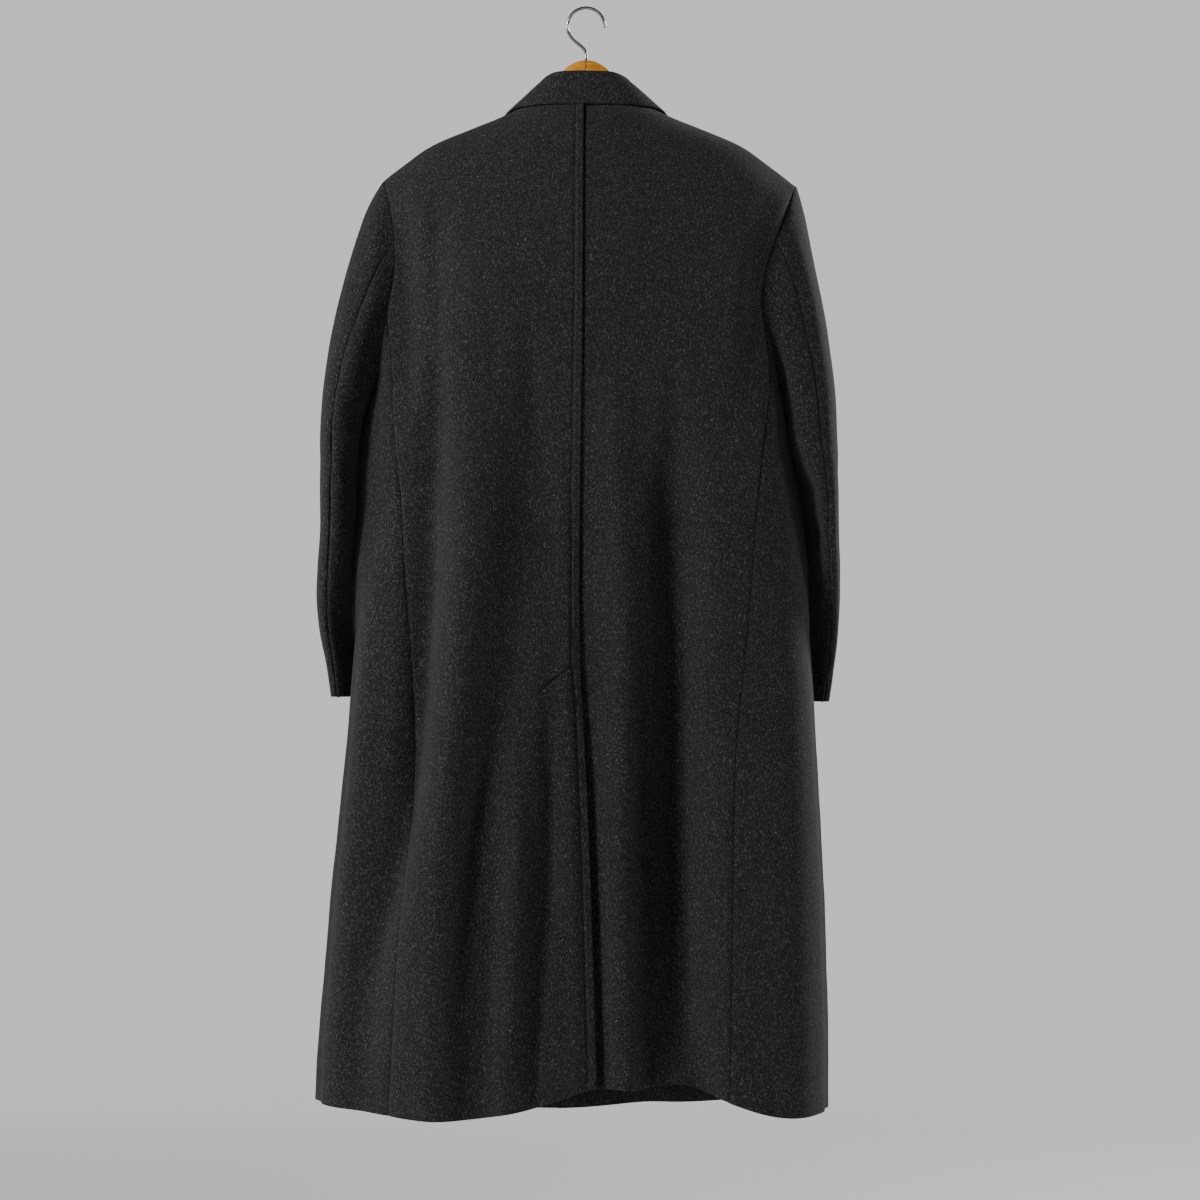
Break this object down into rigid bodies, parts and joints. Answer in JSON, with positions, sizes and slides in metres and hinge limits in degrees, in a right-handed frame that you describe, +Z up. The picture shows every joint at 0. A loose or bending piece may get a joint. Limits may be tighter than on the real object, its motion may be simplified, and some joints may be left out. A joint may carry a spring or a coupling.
{
  "type": "wool overcoat on a wooden coat hanger",
  "caption": "Long single-breasted wool overcoat with turned-down collar, lapels and centre-back vent, hanging on a contoured wooden hanger.",
  "frame": {"origin": "inner top of the hanger's hook, where it bears on a rail", "axes": "+Z up, -Y out of the coat's front, +X to the wearer's left"},
  "size_m": [0.6201, 0.296, 1.3157],
  "materials": {
    "wool": "heathered charcoal fulled wool with a soft nap",
    "horn": "dark horn look, softly polished",
    "wood": "clear varnish",
    "steel": "polished"
  },
  "bodies": {
    "root": {"back_left": "wool", "back_right": "wool", "side_left": "wool", "side_right": "wool", "front_left": "wool", "front_right": "wool", "sleeve_upper_left": "wool", "sleeve_under_left": "wool", "sleeve_upper_right": "wool", "sleeve_under_right": "wool", "collar": "wool", "lapel_left": "wool", "lapel_right": "wool", "button_1": "horn", "button_2": "horn", "button_3": "horn", "hanger_left": "wood", "hanger_right": "wood", "hook": "steel"}
  },
  "joints": []
}
